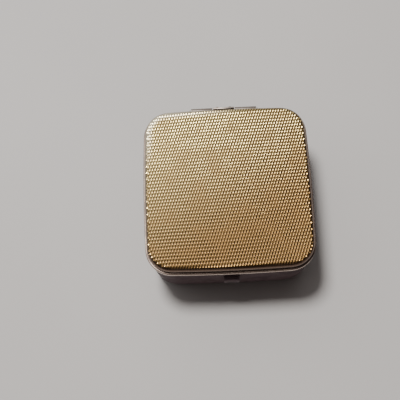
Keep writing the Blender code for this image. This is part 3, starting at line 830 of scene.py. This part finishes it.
def make_tray():
    """Draw the well, cut the slot and drill the rivet holes."""
    low, high = TRAY_BOX
    bm = case_block(DECK_INSET, high[2] - PAN_SHEET, high[2])
    bow_sides(bm, DECK_INSET)
    tray = as_object("cake_pan", bm, BRASS)
    for inset, bottom, top, corner, cut in (
            (WELL_INSET - PAN_SHEET, low[2], high[2] - PAN_SHEET / 2, WELL_ROUND + PAN_SHEET, "UNION"),
            (WELL_INSET, low[2] + PAN_SHEET, high[2] + MM, WELL_ROUND, "DIFFERENCE")):
        bm = case_block(inset, bottom, top)
        round_rim(bm, bottom, corner, 6)
        bow_sides(bm, inset)
        boolean(tray, bm, cut)
    front, back = (-HALF_Y + length for length in SLOT_LENGTH)
    boolean(tray, box_tool((-SLOT_HALF, front, high[2] - MM), (SLOT_HALF, back, high[2] + MM)))
    drill(tray, GUIDE_RIVETS, (0, 0, 1))
    ease(tray, TRAY_EASE)
    settle(tray)
    return stands_for(tray, "base", "brass_pan", "cake_tray")


make_tray()

# ---------------------------------------------------------------------------------------------
# Rosin cake. Pine resin boiled, poured into a mould and left to set like glass. It is clear dark
# amber, with a shallow groove that the bow has worn along it, white dust in it and chipped edges.

CAKE_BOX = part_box("rosin_cake")
CAKE_INSET = HALF_X - CAKE_BOX[1][0]
CAKE_EASE = 0.8 * MM
GROOVE_RADIUS = 46.0 * MM
GROOVE_DEPTH = 0.7 * MM
GROOVE_OFFSET = 3.0 * MM
GROOVE_STEPS = 256
GROOVE_HAIR = (2.0 * MM, 10.0 * MM)
WORN_DEPTHS = (1.4 * MM, 0.9 * MM)
CHIP_RISE = 0.1 * MM
CHIPS = ((-19.6, -14.2, 0.9), (-12.3, 21.1, 0.7), (19.9, 9.4, 0.8),
         (8.6, -21.3, 0.6), (19.6, -20.2, 1.5))
AMBER_DEEP = (0.19, 0.040, 0.003, 1)
AMBER_CLEAR = (0.33, 0.082, 0.006, 1)
AMBER_DUST = (0.86, 0.70, 0.46, 1)


def rosin_material():
    """Clear amber resin with dust and hair marks where the bow runs."""
    made, tree, shader = new_material("amber_rosin")
    place = node(tree, "ShaderNodeTexCoord")
    axes = node(tree, "ShaderNodeSeparateXYZ")
    tree.links.new(place.outputs["Object"], axes.inputs["Vector"])
    aside = math_node(tree, "SUBTRACT", axes.outputs["X"], GROOVE_OFFSET)
    aside = math_node(tree, "ABSOLUTE", aside, None)
    run = math_node(tree, "SUBTRACT", 1.0, spread(tree, aside, *GROOVE_HAIR))
    top = spread(tree, axes.outputs["Z"], *(CAKE_BOX[1][2] - depth for depth in WORN_DEPTHS))
    # This mask is only the real wear along the groove; no light is painted on the cake.
    wear_and_painted_light = math_node(tree, "MULTIPLY", run, top)
    hair = node(tree, "ShaderNodeMapping")
    hair.inputs["Scale"].default_value = (2600.0, 40.0, 900.0)
    lines = node(tree, "ShaderNodeTexNoise", Scale=1.0, Detail=3.0)
    cloud = node(tree, "ShaderNodeTexNoise", Scale=220.0, Detail=5.0, Roughness=0.65)
    tree.links.new(place.outputs["Object"], hair.inputs["Vector"])
    tree.links.new(hair.outputs["Vector"], lines.inputs["Vector"])
    tree.links.new(place.outputs["Object"], cloud.inputs["Vector"])
    marks = spread(tree, lines.outputs["Fac"], 0.42, 0.62)
    patches = spread(tree, cloud.outputs["Fac"], 0.35, 0.7)
    powder = math_node(tree, "MULTIPLY", wear_and_painted_light, math_node(tree, "MULTIPLY_ADD", marks, 0.34, 0.06))
    loose = math_node(tree, "MULTIPLY", math_node(tree, "MULTIPLY", patches, top), 0.05)
    dust = math_node(tree, "MINIMUM", math_node(tree, "ADD", powder, loose), 0.85)
    resin = mix_colour(tree, patches, AMBER_DEEP, AMBER_CLEAR)
    tree.links.new(mix_colour(tree, dust, resin, AMBER_DUST), shader.inputs["Base Color"])
    tree.links.new(math_node(tree, "MULTIPLY_ADD", dust, 0.6, 0.12), shader.inputs["Roughness"])
    bump = node(tree, "ShaderNodeBump", Strength=0.4, Distance=0.04 * MM)
    tree.links.new(math_node(tree, "MULTIPLY", marks, wear_and_painted_light), bump.inputs["Height"])
    tree.links.new(bump.outputs["Normal"], shader.inputs["Normal"])
    shader.inputs["IOR"].default_value = 1.54
    shader.inputs["Subsurface Weight"].default_value = 0.35
    shader.inputs["Subsurface Radius"].default_value = (1.0, 0.35, 0.06)
    shader.inputs["Subsurface Scale"].default_value = 3.0 * MM
    shader.inputs["Coat Weight"].default_value = 0.25
    shader.inputs["Coat Roughness"].default_value = 0.08
    return made


def make_cake():
    """Cast the block, wear the groove and chip the edges."""
    low, high = CAKE_BOX
    bm = case_block(CAKE_INSET, low[2], high[2])
    round_rim(bm, low[2], CAKE_EASE, 4)
    round_rim(bm, high[2], CAKE_EASE, 6)
    bow_sides(bm, CAKE_INSET)
    cake = as_object("rosin_block", bm, rosin_material())
    height = high[2] - GROOVE_DEPTH + GROOVE_RADIUS
    ends = [(GROOVE_OFFSET, side * HALF_Y, height) for side in (-1, 1)]
    boolean(cake, rod_tool(GROOVE_RADIUS, *ends, GROOVE_STEPS))
    for x, y, size in CHIPS:
        bm = bmesh.new()
        place = Matrix.Translation((x * MM, y * MM, high[2] + CHIP_RISE))
        turn = Euler((x, y, size)).to_matrix().to_4x4()
        bmesh.ops.create_icosphere(bm, subdivisions=1, radius=size * MM, matrix=place @ turn)
        boolean(cake, bm)
    return stands_for(cake, "base", "amber_rosin", "rosin_cake")


make_cake()

# ---------------------------------------------------------------------------------------------
# Hinge. Two nickel leaves are riveted to the shell and one to the lid. Each is rolled round a
# steel pin into a knuckle, the lid's between the other two, and the pin's ends are peened over.

KNUCKLE_RADIUS = 1.25 * MM
BORE_RADIUS = 0.72 * MM
PIN_RADIUS = 0.5 * MM
PIN_HEAD_RADIUS = 0.9 * MM
PIN_HEAD = 0.3 * MM
PIN_TIP_RADIUS = 0.54 * MM
PIN_TIP = 0.03 * MM
PIN_RIM = 0.09 * MM
PIN_STEPS = 32
LEAF_SHEET = 0.5 * MM
LEAF_EASE = 0.05 * MM
BASE_LEAF_Y = HINGE_Y - 0.35 * MM
LID_LEAF_Y = HINGE_Y - 0.4 * MM
SEAM = 0.12 * MM
SEAM_RISE = 0.75 * MM
HAIR = 0.01 * MM
HINGE_METAL = metal_material("hinge_nickel", (0.24, 0.205, 0.18), (0.11, 0.085, 0.07), 0.5, 0.34)
STEEL = metal_material("spring_steel", (0.34, 0.35, 0.37), (0.12, 0.10, 0.09), 0.4, 0.24)


def make_leaf(cad_node, body, drilled, leaf_y):
    """Roll one leaf: flat plate, knuckle, bore, the seam where the roll closes, and its holes."""
    low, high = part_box(cad_node)
    up = high[2] - HINGE_Z > KNUCKLE_RADIUS + TINY
    start, end = low[0], high[0]
    bottom, top = (HINGE_Z, high[2]) if up else (low[2], HINGE_Z)
    plate = box_tool((start, leaf_y, bottom), (end, leaf_y + LEAF_SHEET, top))
    leaf = as_object(cad_node + "_plate", plate, HINGE_METAL)
    boolean(leaf, rod_tool(KNUCKLE_RADIUS, (start + HAIR, HINGE_Y, HINGE_Z),
                           (end - HAIR, HINGE_Y, HINGE_Z)), "UNION")
    boolean(leaf, rod_tool(BORE_RADIUS, (start - MM, HINGE_Y, HINGE_Z), (end + MM, HINGE_Y, HINGE_Z)))
    seam = HINGE_Z + (SEAM_RISE if up else -SEAM_RISE)
    boolean(leaf, box_tool((start - MM, HINGE_Y - 2 * MM, seam - SEAM / 2),
                           (end + MM, leaf_y - 0.1 * MM, seam + SEAM / 2)))
    drill(leaf, drilled, (0, 1, 0))
    ease(leaf, LEAF_EASE)
    settle(leaf)
    return stands_for(leaf, body, "nickel_rim", cad_node)


def spun(name, profile, place, direction, surface, steps=28):
    """Turn a profile of (radius, height) points about an axis."""
    bm = bmesh.new()
    verts = [bm.verts.new((radius, 0.0, height)) for radius, height in profile]
    edges = [bm.edges.new(pair) for pair in zip(verts, verts[1:])]
    bmesh.ops.spin(bm, geom=verts + edges, axis=(0, 0, 1), cent=(0, 0, 0),
                   angle=2 * math.pi, steps=steps, use_merge=True)
    bmesh.ops.remove_doubles(bm, verts=bm.verts, dist=TINY)
    bmesh.ops.recalc_face_normals(bm, faces=bm.faces)
    turn = Vector(direction).to_track_quat("Z", "Y").to_matrix().to_4x4()
    bmesh.ops.transform(bm, matrix=Matrix.Translation(place) @ turn, verts=bm.verts)
    return as_object(name, bm, surface)


def make_pin():
    """The pin, with a peened head at each end."""
    end = PIN_BOX[1][0]
    inner = end - PIN_HEAD
    profile = [(0.0, -end), (PIN_TIP_RADIUS, PIN_TIP - end), (PIN_HEAD_RADIUS, -inner - PIN_RIM),
               (PIN_HEAD_RADIUS, -inner), (PIN_RADIUS, -inner)]
    profile += [(radius, -height) for radius, height in reversed(profile)]
    pin = spun("peened_pin", profile, (0, HINGE_Y, HINGE_Z), (1, 0, 0), STEEL, PIN_STEPS)
    return stands_for(pin, "base", "spring_steel", "hinge_pin")


make_leaf("base_hinge_leaf_left", "base", BASE_RIVETS[:2], BASE_LEAF_Y)
make_leaf("base_hinge_leaf_right", "base", BASE_RIVETS[2:], BASE_LEAF_Y)
make_leaf("lid_hinge_leaf", "lid", LID_RIVETS, LID_LEAF_Y)
make_pin()

# ---------------------------------------------------------------------------------------------
# Rivets. Small nickel rivets with a domed head outside and a peened tail inside. Four hold the
# hinge to the shell, two hold it to the lid, and two hold the catch bracket under the deck.

RIVET_SHANK = 0.4 * MM
RIVET_HEAD = 0.65 * MM
RIVET_DOME = 0.35 * MM
RIVET_TAIL = (0.6175 * MM, 0.52 * MM)
DOME_STEPS = 7
RIVET_METAL = metal_material("rivet_nickel", (0.30, 0.265, 0.235), (0.14, 0.11, 0.09), 0.5, 0.30)


def make_rivet(cad_node, body, axis):
    """One rivet along the Y or Z axis, head at the far end."""
    low, high = (Vector(corner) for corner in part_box(cad_node))
    length = (high - low)[axis] - 2 * RIVET_DOME
    dome = [(RIVET_HEAD * math.sin(turn), RIVET_DOME * math.cos(turn))
            for turn in (step * math.pi / 2 / DOME_STEPS for step in range(DOME_STEPS))]
    profile = dome + [(RIVET_HEAD, 0.0), (RIVET_SHANK, 0.0), (RIVET_SHANK, -length)]
    wide, narrow = RIVET_TAIL
    end = -length - RIVET_DOME
    profile += [(wide, -length), (narrow, end), (0.0, end)]
    place = (low + high) / 2
    place[axis] = high[axis] - RIVET_DOME
    direction = [0, 0, 0]
    direction[axis] = 1
    rivet = spun("set_" + cad_node, profile, place, direction, RIVET_METAL)
    return stands_for(rivet, body, "rivet_steel", cad_node)


for rivets, body, axis in ((BASE_RIVETS, "base", 1), (LID_RIVETS, "lid", 1), (GUIDE_RIVETS, "base", 2)):
    for rivet_node in rivets:
        make_rivet(rivet_node, body, axis)

# ---------------------------------------------------------------------------------------------
# Catch. A plated push button goes through the shell's front, and the tongue behind it reaches up
# through the deck to a lip in the lid. A bowed leaf spring in a bracket pushes them forward.

BUTTON_WIDTH = 5.4 * MM
BUTTON_HEIGHT = 3.0 * MM
BUTTON_ROUND = 0.45 * MM
GRIP_RADIUS = 0.16 * MM
GRIP_HALF = 1.9 * MM
GRIP_PITCH = 0.62 * MM
GRIP_LIFT = 0.04 * MM
FLANGE = (2.05 * MM, 2.45 * MM)
FLANGE_LAP = 0.02 * MM
BOSS_HALF = (1.3 * MM, 0.9 * MM)
BOSS_START = 2.2 * MM
HOOK_SHEET = 0.6 * MM
HOOK_NOSE_HEIGHT = 0.45 * MM
STRIKE_SHEET = 0.4 * MM
GUIDE_SHEET = 0.4 * MM
CHEEK_HALF = 3.3 * MM
SPRING_SHEET = 0.25 * MM
SPRING_CUTS = 15
HOOK_EASE = 0.09 * MM
BRACKET_EASE = 0.06 * MM
BUTTON_PLATE = metal_material("button_plate", PLATE_FRESH, PLATE_AGED, 0.5, 0.5, 0.0, 0.2)


def make_button():
    """Stamped head with rounded edges and three finger grooves, a flange and a boss."""
    low, high = BUTTON_BOX
    middle = (low[2] + high[2]) / 2
    half_w = BUTTON_WIDTH / 2
    half_h = BUTTON_HEIGHT / 2
    flange_front, flange_back = (-HALF_Y + depth for depth in FLANGE)
    bm = box_tool((-half_w, low[1], middle - half_h), (half_w, flange_back, middle + half_h))
    bmesh.ops.bevel(bm, geom=list(bm.edges), offset=BUTTON_ROUND, offset_type="OFFSET", affect="EDGES",
                    segments=5, profile=0.5, material=-1)
    button = as_object("push_button", bm, BUTTON_PLATE)
    boolean(button, box_tool((low[0], flange_front, low[2]),
                             (high[0], flange_back + FLANGE_LAP, high[2])), "UNION")
    boolean(button, box_tool((-BOSS_HALF[0], -HALF_Y + BOSS_START, middle - BOSS_HALF[1]),
                             (BOSS_HALF[0], high[1], middle + BOSS_HALF[1])), "UNION")
    for row in (-1, 0, 1):
        level = middle + row * GRIP_PITCH
        boolean(button, rod_tool(GRIP_RADIUS, (-GRIP_HALF, low[1] - GRIP_LIFT, level),
                                 (GRIP_HALF, low[1] - GRIP_LIFT, level), 16))
    return stands_for(button, "catch", "dark_steel", "catch_button")


def make_hook():
    """Upright steel tongue with its nose bent forward."""
    low, high = HOOK_BOX
    bm = box_tool((low[0], high[1] - HOOK_SHEET, low[2]), (high[0], high[1], high[2]))
    hook = as_object("tongue", bm, STEEL)
    nose = box_tool((low[0] + HAIR, low[1], high[2] - HOOK_NOSE_HEIGHT),
                    (high[0] - HAIR, high[1] - HOOK_SHEET / 2, high[2] - HAIR))
    boolean(hook, nose, "UNION")
    ease(hook, HOOK_EASE)
    settle(hook)
    return stands_for(hook, "catch", "spring_steel", "catch_hook")


def make_strike():
    """Bent lip that the nose goes over."""
    low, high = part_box("catch_strike")
    strike = as_object("lip", box_tool(low, (high[0], low[1] + STRIKE_SHEET, high[2])), NICKEL)
    ledge = box_tool((low[0] + HAIR, low[1] + STRIKE_SHEET / 2, low[2] + HAIR),
                     (high[0] - HAIR, high[1], low[2] + STRIKE_SHEET))
    boolean(strike, ledge, "UNION")
    ease(strike, BRACKET_EASE)
    settle(strike)
    return stands_for(strike, "lid", "nickel_rim", "catch_strike")


def make_guide():
    """Bracket folded from one strip: top plate, two cheeks and a back."""
    low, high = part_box("catch_guide")
    guide = as_object("bracket", box_tool((low[0], low[1], high[2] - GUIDE_SHEET), high), NICKEL)
    edge = CHEEK_HALF + GUIDE_SHEET
    boolean(guide, box_tool((-edge, low[1] + HAIR, low[2]),
                            (edge, high[1] - HAIR, high[2] - GUIDE_SHEET / 2)), "UNION")
    boolean(guide, box_tool((-CHEEK_HALF, low[1] - MM, low[2] - MM),
                            (CHEEK_HALF, high[1] - GUIDE_SHEET, high[2] + MM)))
    drill(guide, GUIDE_RIVETS, (0, 0, 1))
    ease(guide, BRACKET_EASE)
    settle(guide)
    return stands_for(guide, "base", "nickel_rim", "catch_guide")


def make_spring():
    """Bowed leaf spring that is pressed flat as the button goes in."""
    low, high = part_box("catch_spring")
    bm = box_tool((low[0], high[1] - SPRING_SHEET, low[2]), high)
    upright = [e for e in bm.edges if abs(e.verts[0].co.z - e.verts[1].co.z) > TINY]
    bmesh.ops.subdivide_edges(bm, edges=upright, cuts=SPRING_CUTS, use_grid_fill=True)
    middle = (low[2] + high[2]) / 2
    bulge = high[1] - low[1] - SPRING_SHEET
    for vert in bm.verts:
        share = (vert.co.z - middle) / (high[2] - middle)
        vert.co.y -= bulge * (0.5 + 0.5 * math.cos(math.pi * share))
    spring = as_object("leaf_spring", bm, STEEL)
    stands_for(spring, "base", "spring_steel", "catch_spring")
    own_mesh(spring)
    return spring


make_button()
make_hook()
make_strike()
make_guide()
make_spring()
